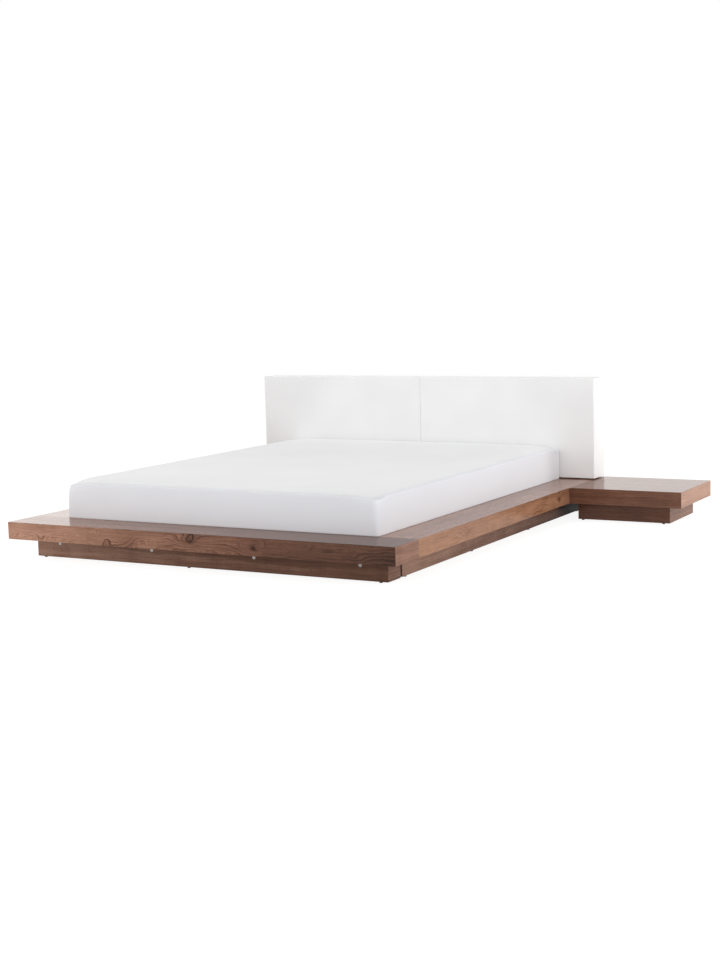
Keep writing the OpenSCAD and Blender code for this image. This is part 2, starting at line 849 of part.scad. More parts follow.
module mattress_core() {
    color("#e8e0c8") in_mattress() box(
        [soft_gap - core_half_x, soft_gap - core_half_y, base_cloth_t],
        [core_half_x - soft_gap, core_half_y - soft_gap, core_top - soft_gap]);
}

module mattress_base_cloth() {
    color("#dcdcdc") in_mattress() box([soft_gap - core_half_x, soft_gap - core_half_y, 0],
        [core_half_x - soft_gap, core_half_y - soft_gap, base_cloth_t]);
}

foot_top();
foot_fascia();
foot_end_boards();
foot_inner_board();
foot_bottom_panel();
left() rail_top();  // rail_top_left
rail_top();  // rail_top_right
left() rail_fascia();  // rail_fascia_left
rail_fascia();  // rail_fascia_right
rail_inner_boards();
rail_bottom_panels();
rail_end_boards();
head_top();
head_front_board();
head_back_board();
head_end_boards();
front_plinth_face();
front_plinth_ends();
front_plinth_back();
left() side_plinth();  // side_plinth_left
side_plinth();  // side_plinth_right
side_plinth_inner_boards();
side_plinth_ends();
rear_plinth();
centre_beam();
beam_hangers();
centre_legs();
leg_pads();
slat_cleats();
slats();
left() table_top();  // table_top_left
table_top();  // table_top_right
left() table_front();  // table_front_left
table_front();  // table_front_right
left() table_side();  // table_side_left
table_side();  // table_side_right
table_back_boards();
table_inner_boards();
table_bottom_panels();
table_base_fronts();
table_base_backs();
table_base_sides();
table_brackets();
headboard_rails();
headboard_stiles();
headboard_front_panels();
headboard_back_panels();
left() headboard_cover();  // headboard_cover_left
headboard_cover();  // headboard_cover_right
headboard_spacers();
headboard_bolts();
cam_locks();
cam_bolts();
frame_bolts();
slat_screws();
glides();
mattress_cover();
mattress_core();
mattress_base_cloth();
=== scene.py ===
# Finishes a low platform double bed around its solid model: veneered boards, slatted base, padded headboard,
# mattress, fittings and a plain studio. Lengths are metres, the floor is at Z = 0 and the foot faces -Y.
import math

import bmesh
import bpy
from bpy.props import FloatProperty, FloatVectorProperty, IntProperty, PointerProperty
from mathutils import Matrix, Vector


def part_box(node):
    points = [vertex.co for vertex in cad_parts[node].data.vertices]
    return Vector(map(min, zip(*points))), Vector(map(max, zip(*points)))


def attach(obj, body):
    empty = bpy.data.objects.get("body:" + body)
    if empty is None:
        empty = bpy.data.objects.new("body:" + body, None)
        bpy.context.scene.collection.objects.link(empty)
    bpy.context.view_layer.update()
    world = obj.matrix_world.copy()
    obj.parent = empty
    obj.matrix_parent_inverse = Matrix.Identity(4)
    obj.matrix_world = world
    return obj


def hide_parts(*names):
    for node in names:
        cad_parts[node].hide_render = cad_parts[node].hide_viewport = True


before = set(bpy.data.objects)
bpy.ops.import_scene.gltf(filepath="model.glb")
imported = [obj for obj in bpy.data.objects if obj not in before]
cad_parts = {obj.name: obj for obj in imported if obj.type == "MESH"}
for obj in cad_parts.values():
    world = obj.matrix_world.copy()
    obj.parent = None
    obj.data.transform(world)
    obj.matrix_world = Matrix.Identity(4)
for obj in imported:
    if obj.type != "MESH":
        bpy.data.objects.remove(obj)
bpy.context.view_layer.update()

bl_info = {
    "name": "Platform double bed",
    "version": (1, 0, 0),
    "blender": (4, 5, 0),
    "location": "3D View > Sidebar > Bed",
    "description": "Finishes a low platform double bed around its solid model",
    "category": "Object",
}


# Settings that a user would change

def colour(name, description, default):
    return FloatVectorProperty(name=name, description=description, default=default, size=3,
                               min=0.0, max=1.0, subtype="COLOR")


def length(name, description, default):
    return FloatProperty(name=name, description=description, default=default, min=0.0,
                         subtype="DISTANCE", unit="LENGTH", precision=4)


def fraction(name, description, default):
    return FloatProperty(name=name, description=description, default=default, min=0.0, max=1.0)


def power(name, description, default):
    return FloatProperty(name=name, description=description, default=default, min=0.0,
                         subtype="POWER", unit="POWER")


class BedVeneerSettings(bpy.types.PropertyGroup):
    pale: colour("Pale", "Walnut between two growth rings, at its lightest", (0.62, 0.37, 0.265))
    light: colour("Light", "Walnut's light tone", (0.42, 0.225, 0.150))
    brown: colour("Brown", "Walnut's middle tone", (0.175, 0.078, 0.048))
    vein: colour("Vein", "Walnut's darkest veins", (0.035, 0.014, 0.008))
    ring: length("Ring", "Spacing of the growth rings", 0.0180)
    edge: length("Edge", "Rounding of a veneered board's edges", 0.0006)
    matte: fraction("Matte", "Roughness of the wood under its lacquer", 0.42)
    lacquer: fraction("Lacquer", "Strength of the lacquer's gloss", 0.6)
    sheen: fraction("Lacquer roughness", "Roughness of the lacquer", 0.16)


class BedTimberSettings(bpy.types.PropertyGroup):
    pale: colour("Pale", "Softwood between two growth rings", (0.80, 0.62, 0.40))
    light: colour("Light", "Softwood's light tone", (0.72, 0.51, 0.29))
    brown: colour("Brown", "Softwood's ring tone", (0.56, 0.34, 0.16))
    vein: colour("Vein", "Softwood's knots", (0.25, 0.12, 0.05))
    ring: length("Ring", "Spacing of the growth rings", 0.0110)
    edge: length("Edge", "Rounding of a timber's edges", 0.0015)
    board: colour("Board", "Raw board inside the boxes", (0.50, 0.36, 0.23))


class BedSoftSettings(bpy.types.PropertyGroup):
    leather: colour("Leather", "White leather of the headboard", (0.875, 0.875, 0.875))
    # Painted light: the leather of the headboard's outer sides is paler, standing for the strong light that
    # falls on them.
    painted_side_light: colour("Painted side light", "White leather over the headboard's outer sides", (0.94, 0.94, 0.94))
    leather_grain: length("Leather grain", "Size of the leather's pebbles", 0.0016)
    cloth: colour("Cloth", "Mattress cloth of the top panel", (0.85, 0.85, 0.855))
    border: colour("Border", "Mattress cloth of the border", (0.825, 0.835, 0.870))
    knit: length("Knit", "Spacing of the mattress cloth's stitches", 0.0018)
    filling: colour("Filling", "Foam and base cloth of the mattress", (0.78, 0.76, 0.70))
    pressure: FloatProperty(name="Pressure", description="Pressure that fills the covers", default=4.0,
                            min=0.0)
    frames: IntProperty(name="Frames", description="Steps of the filling", default=20, min=1)


class BedMetalSettings(bpy.types.PropertyGroup):
    zinc: colour("Zinc", "Zinc-plated steel of bolts and hangers", (0.62, 0.62, 0.60))
    nickel: colour("Nickel", "Cam locks", (0.36, 0.35, 0.34))
    paint: colour("Paint", "Painted steel of the brackets and legs", (0.060, 0.068, 0.066))
    plastic: colour("Plastic", "Glides, pads and spacers", (0.020, 0.018, 0.016))
    edge: length("Edge", "Rounding of a metal edge", 0.0003)


class BedStageSettings(bpy.types.PropertyGroup):
    floor: length("Floor", "Width of the floor", 60.0)
    ambient: fraction("Ambient", "Strength of the studio's even light", 0.45)
    top: power("Top", "Lamp above the bed", 44.0)
    side: power("Side", "Low lamp on the right", 54.0)
    front: power("Front", "Low lamp at the left of the foot", 16.0)
    main: power("Main", "Lamp before the foot", 95.0)
    left: power("Left", "Lamp on the left", 70.0)
    corner: power("Corner", "Low lamp behind the right bedside table", 24.0)
    back: power("Back", "Wide lamp behind the headboard", 130.0)
    lens: FloatProperty(name="Lens", description="Focal length of the camera", default=58.97, min=1.0,
                        subtype="DISTANCE_CAMERA")


# Shader maths

class Term:
    """A number in a material. Arithmetic on terms adds Math nodes."""

    def __init__(self, recipe, socket):
        self.recipe = recipe
        self.socket = socket

    def __add__(self, other):
        return self.recipe.math("ADD", self, other)

    def __radd__(self, other):
        return self.recipe.math("ADD", other, self)

    def __sub__(self, other):
        return self.recipe.math("SUBTRACT", self, other)

    def __rsub__(self, other):
        return self.recipe.math("SUBTRACT", other, self)

    def __mul__(self, other):
        return self.recipe.math("MULTIPLY", self, other)

    def __rmul__(self, other):
        return self.recipe.math("MULTIPLY", other, self)

    def __truediv__(self, other):
        return self.recipe.math("DIVIDE", self, other)


class Recipe:
    """One material's or world's nodes."""

    def __init__(self, owner):
        owner.use_nodes = True
        self.owner = owner
        self.tree = owner.node_tree
        self.tree.nodes.clear()

    def add(self, kind, settings=None, sockets=None):
        """Adds a node, makes its settings, and then gives its sockets their values or links."""
        node = self.tree.nodes.new(kind)
        for name, value in (settings or {}).items():
            if name == "stops":
                self.set_stops(node.color_ramp, value)
            else:
                setattr(node, name, value)
        for key, value in (sockets or {}).items():
            if isinstance(value, Term):
                value = value.socket
            if isinstance(value, bpy.types.NodeSocket):
                self.tree.links.new(value, node.inputs[key])
            else:
                node.inputs[key].default_value = value
        return node

    def set_stops(self, ramp, stops):
        while len(ramp.elements) < len(stops):
            ramp.elements.new(1.0)
        for element, (place, tone) in zip(ramp.elements, stops):
            element.position = place
            element.color = (*tone, 1.0)

    def math(self, operation, *values):
        node = self.add("ShaderNodeMath", {"operation": operation}, dict(enumerate(values)))
        return Term(self, node.outputs[0])

    def place(self):
        """The object's own X, Y and Z."""
        whole = self.add("ShaderNodeTexCoord").outputs["Object"]
        split = self.add("ShaderNodeSeparateXYZ", sockets={0: whole})
        return [Term(self, split.outputs[i]) for i in range(3)]

    def noise(self, x, y, z, detail=0.0):
        """Smooth noise around zero, about a quarter either way."""
        point = self.add("ShaderNodeCombineXYZ", sockets={0: x, 1: y, 2: z})
        node = self.add("ShaderNodeTexNoise", {"noise_dimensions": "3D"},
                        {"Vector": point.outputs[0], "Scale": 1.0, "Detail": detail})
        return Term(self, node.outputs[0]) - 0.5

    def even_noise(self, place, scale, detail=0.0):
        """Noise of one size in every direction."""
        return self.noise(*(part * scale for part in place), detail=detail)

    def cells(self, x, y, z, feature="F1"):
        """How far the nearest of many scattered points is."""
        point = self.add("ShaderNodeCombineXYZ", sockets={0: x, 1: y, 2: z})
        node = self.add("ShaderNodeTexVoronoi", {"voronoi_dimensions": "3D", "feature": feature},
                        {"Vector": point.outputs[0], "Scale": 1.0})
        return Term(self, node.outputs["Distance"])

    def ramp(self, value, stops):
        """Grey or colour stops along a number: a grey ramp gives a term, a colour ramp gives a socket."""
        plain = not isinstance(stops[0][1], tuple)
        if plain:
            stops = [(place, (tone, tone, tone)) for place, tone in stops]
        node = self.add("ShaderNodeValToRGB", {"stops": stops}, {"Fac": value})
        return Term(self, node.outputs["Color"]) if plain else node.outputs["Color"]

    def clouded(self, cloud, first, second):
        """One colour that passes into another from a noise's low to its high."""
        return self.ramp(cloud + 0.5, [(0.3, tuple(first)), (0.7, tuple(second))])

    def blend(self, share, first, second):
        """One colour with a share of another over it."""
        mix = self.add("ShaderNodeMix", {"data_type": "RGBA"}, {"Factor": share, 6: first, 7: second})
        return mix.outputs[2]

    def surface(self, sockets, height=None, depth=0.0):
        """Ends the material in one surface, with a bump of that depth."""
        if height is not None:
            bump = self.add("ShaderNodeBump",
                            sockets={"Height": height, "Distance": depth, "Strength": 1.0})
            sockets = {**sockets, "Normal": bump.outputs[0]}
        shader = self.add("ShaderNodeBsdfPrincipled", sockets=sockets)
        self.add("ShaderNodeOutputMaterial", sockets={"Surface": shader.outputs[0]})
        return self.owner


def new_recipe(name):
    return Recipe(bpy.data.materials.new(name))


def scaled(tint, share):
    """A colour made darker or paler."""
    return tuple(share * part for part in tint)


def grey(tone):
    return (tone, tone, tone, 1.0)


def smooth_step(share):
    """Turns a share from 0 to 1 into one that starts and ends slowly, for numbers and terms."""
    return share * share * (3.0 - share * 2.0)


# Wood

AXES = "XYZ"

# How dark a growth ring is from its start to its end, and each of the three fine lines within it
LATE_WOOD = ((0.0, 0.0), (0.35, 0.0), (0.74, 0.22), (0.86, 1.0), (0.93, 0.7), (1.0, 0.0))
FINE_LINE = ((0.0, 0.0), (0.45, 0.0), (0.85, 0.30), (1.0, 0.0))


class Board:
    """How one board was cut: its grain, and the figure on its face.

    axes names the directions along the grain, across it and through the board. tone is its middle tone,
    from pale at 0 to dark at 1, and fade how much darker its far end is than its middle. swirl is how far
    the rings wander over a hand's breadth, sway how far over the whole length, pitch how far apart they
    are, and veins and bands how dark. tint colours the wood and gloss is its share of the lacquer. A knot
    is its place along and across, its two half widths and how dark its heart is."""

    def __init__(self, axes, tone=0.5, fade=0.0, swirl=0.008, sway=0.04, pitch=0.38, veins=0.22, bands=0.35,
                 tint=(1.0, 1.0, 1.0), gloss=1.0, knots=()):
        self.axes = axes
        self.tone = tone
        self.fade = fade
        self.swirl = swirl
        self.sway = sway
        self.pitch = pitch
        self.veins = veins
        self.bands = bands
        self.tint = tint
        self.gloss = gloss
        self.knots = knots


def flat_cut(axes, **facts):
    """A board cut along the rings, with a wide figure that wanders."""
    return Board(axes, **{"swirl": 0.13, "sway": 0.22, "pitch": 1.0, "veins": 0.55, "bands": 0.6, **facts})


def straight_cut(axes, **facts):
    """A board cut across the rings, with narrow, even lines."""
    return Board(axes, **facts)


def figure(r, board, along, across, through, shift):
    """How far through the growth rings each point lies, and how dark the hearts of the knots are there."""
    wander = r.noise(along * 6.0 + shift, across * 14.0, through * 14.0, detail=0.6)
    drift = r.noise(along * 1.7 + shift, across * 2.5, through * 2.5 + 1.5 * shift)
    stray = r.noise(along * 21.0, across * 26.0, shift, detail=1.0)
    rings = stray * (board.swirl * 0.16) + across + through * 0.6 + wander * board.swirl + drift * board.sway
    heart = 0.0
    for knot_along, knot_across, half_along, half_across, darkness in board.knots:
        off_along = (along - knot_along) / half_along + wander * 0.9
        off_across = (across - knot_across) / half_across + stray * 0.9
        far = off_along * off_along + off_across * off_across
        rings = rings + r.math("EXPONENT", far * -1.0) * (1.35 * half_across)
        heart = heart + r.math("EXPONENT", far * -9.0) * darkness
    return rings, heart


def wood(name, node, board, look, seed, lacquered):
    """Wood grain: growth rings that wander over the board and round its knots, with fibres and pores."""
    low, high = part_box(node)
    r = new_recipe(name)
    place = r.place()
    grain, width, depth = (AXES.index(letter) for letter in board.axes)
    along, across, through = place[grain], place[width], place[depth]
    middle = (low[grain] + high[grain]) / 2
    shift = 3.7 * seed
    rings, heart = figure(r, board, along, across, through, shift)
    count = rings / (look.ring * board.pitch)
    late = r.ramp(r.math("FRACT", count), LATE_WOOD)
    fine = r.ramp(r.math("FRACT", count * 3.0), FINE_LINE)
    strength = r.math("MAXIMUM", r.noise(count * 0.37, along * 3.2 + shift, 5.0) * 3.6 + 0.22, 0.06)
    band = r.noise(count * 0.16 + shift, along * 0.8, 7.0, detail=2.0)
    fibre = r.noise(along * 7.0, across * 260.0, through * 260.0 + shift, detail=2.0)
    flame = r.noise(along * 16.0 + shift, across * 5.0, through * 5.0, detail=1.0)
    pores = r.ramp(r.noise(along * 45.0, across * 900.0, through * 900.0 + shift) + 0.5,
                   [(0.0, 1.0), (0.34, 1.0), (0.40, 0.0)])
    # Painted shade in part: the ground tone slopes darker towards one end of the board, standing for light
    # that falls off along it as well as the veneer's own change of tone.
    ground = (along - middle) * (2.0 * board.fade / (high[grain] - low[grain])) + board.tone
    veins = (late * strength + fine) * (1.25 - ground) * board.veins
    tone = ground + veins + band * board.bands + fibre * 0.32 + flame * 0.12 + pores * 0.08 + heart
    stops = []
    for stop, shade in zip((0.0, 0.30, 0.62, 1.0), (look.pale, look.light, look.brown, look.vein)):
        stops.append((stop, tuple(part * share for part, share in zip(shade, board.tint))))
    sockets = {"Base Color": r.ramp(tone, stops), "IOR": 1.5}
    if lacquered:
        sockets["Roughness"] = pores * 0.2 + fibre * 0.2 + look.matte
        sockets["Specular IOR Level"] = 0.0
        sockets["Coat Weight"] = look.lacquer * board.gloss
        sockets["Coat IOR"] = 1.35
        sockets["Coat Roughness"] = look.sheen
    else:
        sockets["Roughness"] = fibre * 0.3 + 0.66
    return r.surface(sockets, height=fibre * 0.5 - pores, depth=0.00006)


def pair(name, board):
    """The same cut for a left and a right board."""
    return {f"{name}_left": board, f"{name}_right": board}


# What several cuts share: those of the tops, of the plinths and of the rails' fascias
FINE = {"swirl": 0.04, "sway": 0.10, "pitch": 0.5, "veins": 0.30, "bands": 0.30}
DULL = {"tint": (0.92, 1.06, 1.18), "gloss": 0.4}
RAIL = {"swirl": 0.06, "pitch": 0.8, "veins": 0.25, "tint": (0.98, 0.93, 0.80)}

# How the boards of each piece were cut: the veneered ones, then the bare timbers
VENEERED = {
    "foot_top": flat_cut("XYZ", tone=0.61, fade=0.19, gloss=1.3, **FINE),
    "foot_fascia": flat_cut("XZY", tone=0.54, fade=0.32, bands=0.42, knots=(
        (0.010, 0.140, 0.045, 0.033, 0.30), (0.325, 0.128, 0.048, 0.037, 0.40),
        (-0.500, 0.123, 0.030, 0.026, 0.0), (0.700, 0.134, 0.110, 0.020, 0.20))),
    "foot_end_boards": straight_cut("YZX", tone=0.48, bands=0.6),
    "foot_inner_board": straight_cut("XZY", tone=0.55),
    **pair("rail_top", flat_cut("YXZ", tone=0.46, gloss=1.5, **FINE)),
    "rail_fascia_left": straight_cut("YZX", tone=0.43, fade=0.09, knots=(
        (-0.50, 0.128, 0.06, 0.022, 0.1),), **RAIL),
    "rail_fascia_right": straight_cut("YZX", tone=0.43, fade=0.09, knots=(
        (-0.50, 0.128, 0.06, 0.022, 0.1), (0.55, 0.130, 0.04, 0.03, 0.2)), **RAIL),
    "rail_inner_boards": straight_cut("YZX", tone=0.55),
    "rail_end_boards": straight_cut("XZY", tone=0.52),
    "head_top": flat_cut("XYZ", tone=0.45, **FINE),
    "head_front_board": straight_cut("XZY", tone=0.55),
    "head_back_board": straight_cut("XZY", tone=0.50),
    "front_plinth_face": straight_cut("XZY", tone=0.58, fade=0.16, **DULL),
    "front_plinth_ends": straight_cut("YZX", tone=0.51, **DULL),
    "front_plinth_back": straight_cut("XZY", tone=0.60, **DULL),
    # The side plinths' slope darker towards the head is painted shade, standing for the shadow of the
    # bedside tables.
    **pair("side_plinth", straight_cut("YZX", tone=0.53, fade=0.19, **DULL)),
    "side_plinth_inner_boards": straight_cut("YZX", tone=0.60, **DULL),
    "side_plinth_ends": straight_cut("XZY", tone=0.60, **DULL),
    "rear_plinth": straight_cut("XZY", tone=0.58, **DULL),
    **pair("table_top", flat_cut("XYZ", tone=0.56, gloss=1.1, **FINE)),
    **pair("table_front", straight_cut("XZY", tone=0.66, bands=0.6)),
    **pair("table_side", straight_cut("YZX", tone=0.26)),
    "table_back_boards": straight_cut("XZY", tone=0.55),
    "table_base_fronts": straight_cut("XZY", tone=0.74),
    "table_base_backs": straight_cut("XZY", tone=0.60),
    "table_base_sides": straight_cut("YZX", tone=0.50),
}
TIMBERS = {
    "centre_beam": straight_cut("YZX", tone=0.20),
    "slat_cleats": straight_cut("YZX", tone=0.22),
    "slats": flat_cut("XYZ", tone=0.18, swirl=0.02, sway=0.08),
    "headboard_rails": straight_cut("XZY", tone=0.24),
    "headboard_stiles": straight_cut("ZXY", tone=0.24),
    "headboard_front_panels": flat_cut("XZY", tone=0.26),
}
RAW_BOARDS = ("foot_bottom_panel", "rail_bottom_panels", "head_end_boards", "table_inner_boards",
              "table_bottom_panels")


def raw_board(look):
    """Pressed board: chips of wood in many light browns."""
    r = new_recipe("raw_board")
    place = r.place()
    warp = r.even_noise(place, 60.0)
    chips = r.cells(*(part * 190.0 + warp * 2.0 for part in place))
    dust = r.even_noise(place, 900.0, detail=2.0)
    tone = chips * 0.7 + dust * 0.5 + 0.1
    pale = tuple(min(1.0, part) for part in scaled(look.board, 1.35))
    shade = r.ramp(tone, [(0.0, scaled(look.board, 0.5)), (0.35, tuple(look.board)), (1.0, pale)])
    return r.surface({"Base Color": shade, "Roughness": dust * 0.2 + 0.75}, height=dust, depth=0.0001)


# Finishing of solid pieces

def only(piece):
    """Selects one object alone."""
    if bpy.context.object and bpy.context.object.mode != "OBJECT":
        bpy.ops.object.mode_set(mode="OBJECT")
    bpy.ops.object.select_all(action="DESELECT")
    piece.select_set(True)
    bpy.context.view_layer.objects.active = piece


def modifier(piece, kind, **settings):
    """Adds a modifier and applies it."""
    made = piece.modifiers.new(kind.title(), kind)
    for name, value in settings.items():
        setattr(made, name, value)
    only(piece)
    bpy.ops.object.modifier_apply(modifier=made.name)


def finish_piece(piece, material, slot, body, *nodes):
    """Gives a piece its material and its body, and hides the solids it stands for."""
    piece.data.materials.clear()
    piece.data.materials.append(material)
    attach(piece, body)
    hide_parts(*nodes)
    return piece


def copy_of(node):
    """A copy of a solid, its loose triangles joined into whole faces."""
    piece = bpy.data.objects.new(f"finished_{node}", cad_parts[node].data.copy())
    bpy.context.scene.collection.objects.link(piece)
    only(piece)
    bpy.ops.object.mode_set(mode="EDIT")
    bpy.ops.mesh.select_all(action="SELECT")
    bpy.ops.mesh.customdata_custom_splitnormals_clear()
    bpy.ops.mesh.remove_doubles(threshold=1e-5)
    bpy.ops.mesh.dissolve_limited(angle_limit=math.radians(0.5))
    bpy.ops.object.mode_set(mode="OBJECT")
    bpy.ops.object.shade_smooth_by_angle(angle=math.radians(35))
    return piece


def eased(node, material, slot, edge, body="frame"):
    """A solid with its sharp edges eased and its finish on."""
    piece = copy_of(node)
    modifier(piece, "BEVEL", width=edge, segments=2, limit_method="ANGLE",
             angle_limit=math.radians(40), harden_normals=True, use_clamp_overlap=True)
    return finish_piece(piece, material, slot, body, node)


# Plain finishes

def metal(name, tint, roughness, grain, depth):
    """Bare metal with a fine grain."""
    r = new_recipe(name)
    place = r.place()
    speck = r.even_noise(place, grain, detail=2.0)
    cloud = r.even_noise(place, 40.0)
    shade = r.clouded(cloud, scaled(tint, 0.8), tint)
    return r.surface({"Base Color": shade, "Metallic": 1.0, "Roughness": speck * 0.25 + roughness},
                     height=speck, depth=depth)


def coat_of_paint(name, tint, roughness, grain, depth):
    """Paint or plastic with a fine texture."""
    r = new_recipe(name)
    place = r.place()
    speck = r.even_noise(place, grain, detail=1.0)
    cloud = r.even_noise(place, 12.0, detail=2.0)
    shade = r.clouded(cloud, tint, scaled(tint, 1.3))
    return r.surface({"Base Color": shade, "Roughness": speck * 0.3 + roughness}, height=speck, depth=depth)


def leather(look, outer):
    """White leather: fine pebbles with faint creases, paler on the outer side as painted light, for the
    strong light that falls there.
    """
    r = new_recipe("white_leather")
    x, y, z = place = r.place()
    warp = r.even_noise(place, 90.0)
    size = 1.0 / look.leather_grain
    pebbles = r.cells(*(part * size + warp * 2.5 for part in place), feature="SMOOTH_F1")
    creases = r.noise(x * 38.0, y * 38.0, z * 120.0, detail=3.0)
    cloud = r.even_noise(place, 4.0, detail=1.0)
    shade = r.clouded(cloud, scaled(look.leather, 0.96), look.leather)
    # Painted light: the leather turns paler over the outer side, for the strong light from the right that
    # falls there.
    painted_side_light = r.ramp((r.math("ABSOLUTE", x) - outer) * 100.0 + 0.9, [(0.3, 0.0), (0.7, 1.0)])
    shade = r.blend(painted_side_light, shade, (*look.painted_side_light, 1.0))
    sockets = {"Base Color": shade, "Roughness": creases * 0.15 + 0.45, "Specular IOR Level": 0.15}
    return r.surface(sockets, height=creases * 0.4 - pebbles, depth=0.00012)


def cloth(name, tint, stitch, border=None, seam=0.0, ends=()):
    """Knitted cloth: rows of small loops. Below the seam, which sinks at the corners of both ends, it takes
    the border's colour, and a darker band along the seam and the foot of the roll above it is painted shade
    for the crease there."""
    r = new_recipe(name)
    x, y, z = place = r.place()
    loops = r.cells(*(part * (1.0 / stitch) for part in place), feature="SMOOTH_F1")
    fluff = r.even_noise(place, 1500.0, detail=1.0)
    cloud = r.even_noise(place, 2.5, detail=2.0)
    shade = r.clouded(cloud, scaled(tint, 0.965), tint)
    if border:
        side = r.clouded(cloud, scaled(border, 0.975), border)
        level = z - seam
        for end in ends:
            off_x = r.math("ABSOLUTE", x) - CORNER_X
            off_y = y - end
            far = r.math("SQRT", off_x * off_x + off_y * off_y) / CORNER_REACH
            near = r.math("MAXIMUM", 1.0 - far, 0.0)
            level = level + smooth_step(near) * CORNER_SINK
        above = r.ramp(level * 100.0 + 0.5, [(0.35, 0.0), (0.65, 1.0)])
        # Painted shade: the cloth darkens along the seam and the lower part of the roll above it, where the
        # crease is shaded.
        painted_seam_shade = r.ramp(level * 50.0 + 0.5, [(0.42, 0.0), (0.54, 0.85), (0.70, 0.55), (0.95, 0.0)])
        shade = r.blend(above, side, shade)
        shade = r.blend(painted_seam_shade, shade, (*scaled(border, 0.85), 1.0))
    sockets = {"Base Color": shade, "Roughness": 0.92, "IOR": 1.35, "Sheen Weight": 0.15,
               "Sheen Roughness": 0.4}
    return r.surface(sockets, height=loops * -1.0 + fluff * 0.3, depth=0.0002)


# Soft pieces

# Heights over the mattress's underside: the platform's rim round it, just over that rim, and the seam of its
# top panel
RIM = 0.0335
OVER_RIM = 0.0352
SEAM = 0.195

# How far its wall swells out at each height, and the radius of its upright corners at the foot
SWELL = ((RIM, 0.0), (OVER_RIM, 0.0072), (0.050, 0.0078), (0.085, 0.0080), (SEAM, 0.0078))
TURN = 0.024

# How far its top corners sink, over what reach, and how far out they lie
CORNER_SINK = 0.011
CORNER_REACH = 0.13
CORNER_X = 0.8


def block(name, low, high):
    """A rounded piece's start: a cube from one corner to the other, its place in its mesh."""
    bpy.ops.object.select_all(action="DESELECT")
    bpy.ops.mesh.primitive_cube_add(size=1.0, location=(low + high) / 2)
    piece = bpy.context.object
    piece.name = name
    piece.scale = high - low
    bpy.ops.object.transform_apply(location=True, rotation=True, scale=True)
    return piece


def bevel_edges(piece, test, radius, segments, upright=False):
    """Rounds the sharp edges whose two ends both pass a test, or only the upright ones among them."""
    only(piece)
    bpy.ops.object.mode_set(mode="EDIT")
    bpy.ops.mesh.select_mode(type="EDGE")
    bpy.ops.mesh.select_all(action="DESELECT")
    mesh = bmesh.from_edit_mesh(piece.data)
    for edge in mesh.edges:
        sharp = len(edge.link_faces) == 2 and edge.calc_face_angle() > math.radians(50)
        if upright:
            sharp = sharp and abs(edge.verts[0].co.z - edge.verts[1].co.z) > 0.9 * edge.calc_length()
        edge.select = sharp and all(test(v.co) for v in edge.verts)
    bmesh.update_edit_mesh(piece.data)
    bpy.ops.mesh.bevel(offset=radius, segments=segments, profile=0.5, affect="EDGES")
    bpy.ops.object.mode_set(mode="OBJECT")


def inset_rings(piece, test, rings):
    """Insets the faces whose middles pass a test, ring by ring, each with its own rise."""
    only(piece)
    bpy.ops.object.mode_set(mode="EDIT")
    bpy.ops.mesh.select_mode(type="FACE")
    bpy.ops.mesh.select_all(action="DESELECT")
    mesh = bmesh.from_edit_mesh(piece.data)
    for face in mesh.faces:
        face.select = test(face.calc_center_median())
    bmesh.update_edit_mesh(piece.data)
    for width, rise in rings:
        bpy.ops.mesh.inset(thickness=width, depth=rise)
    bpy.ops.object.mode_set(mode="OBJECT")


def cut_at(piece, axis, places):
    """Cuts a piece straight through at places along an axis."""
    only(piece)
    bpy.ops.object.mode_set(mode="EDIT")
    across = Vector([float(i == axis) for i in range(3)])
    for place in places:
        bpy.ops.mesh.select_all(action="SELECT")
        bpy.ops.mesh.bisect(plane_co=across * place, plane_no=across)
    bpy.ops.object.mode_set(mode="OBJECT")


def steps_between(start, stop, count):
    """The places that part a length into equal steps."""
    return [start + (stop - start) * i / count for i in range(1, count)]


def fill_cover(piece, sewn, look, most):
    """Fills a cover as air would, held where it is sewn or rests; no point moves further than most."""
    start = [v.co.copy() for v in piece.data.vertices]
    held = piece.vertex_groups.new(name="sewn")
    held.add([v.index for v in piece.data.vertices if sewn(v.co)], 1.0, "REPLACE")
    only(piece)
    made = piece.modifiers.new("Cloth", "CLOTH")
    cover = made.settings
    cover.quality = 5
    cover.mass = 0.3
    cover.tension_stiffness = 60.0
    cover.compression_stiffness = 60.0
    cover.shear_stiffness = 30.0
    cover.bending_stiffness = 2.0
    cover.use_pressure = True
    cover.uniform_pressure_force = look.pressure
    cover.vertex_group_mass = held.name
    cover.effector_weights.gravity = 0.0
    made.collision_settings.use_collision = False
    for step in range(1, look.frames + 1):
        bpy.context.scene.frame_set(step)
    bpy.ops.object.modifier_apply(modifier=made.name)
    bpy.context.scene.frame_set(1)
    for v, before in zip(piece.data.vertices, start):
        moved = v.co - before
        if moved.length > most:
            v.co = before + moved.normalized() * most
    piece.vertex_groups.clear()


def hollow(piece, low, high):
    """Cuts a box out of a piece, for what it holds."""
    tool = block("hollow", low, high)
    modifier(piece, "BOOLEAN", object=tool, operation="DIFFERENCE", solver="EXACT")
    bpy.data.objects.remove(tool)


def smooth(piece, degrees):
    """Shades a piece smooth, but for edges sharper than an angle."""
    only(piece)
    bpy.ops.object.shade_smooth_by_angle(angle=math.radians(degrees))


# Operators

class BED_OT_veneered_boards(bpy.types.Operator):
    """Finish the walnut boards of the platform, plinths and bedside tables"""
    bl_idname = "bed.veneered_boards"
    bl_label = "Veneered boards"

    def execute(self, context):
        look = context.scene.bed_veneer
        for seed, (node, board) in enumerate(VENEERED.items(), start=1):
            material = wood(f"walnut_{node}", node, board, look, seed, lacquered=True)
            eased(node, material, "walnut_veneer", look.edge)
        return {"FINISHED"}


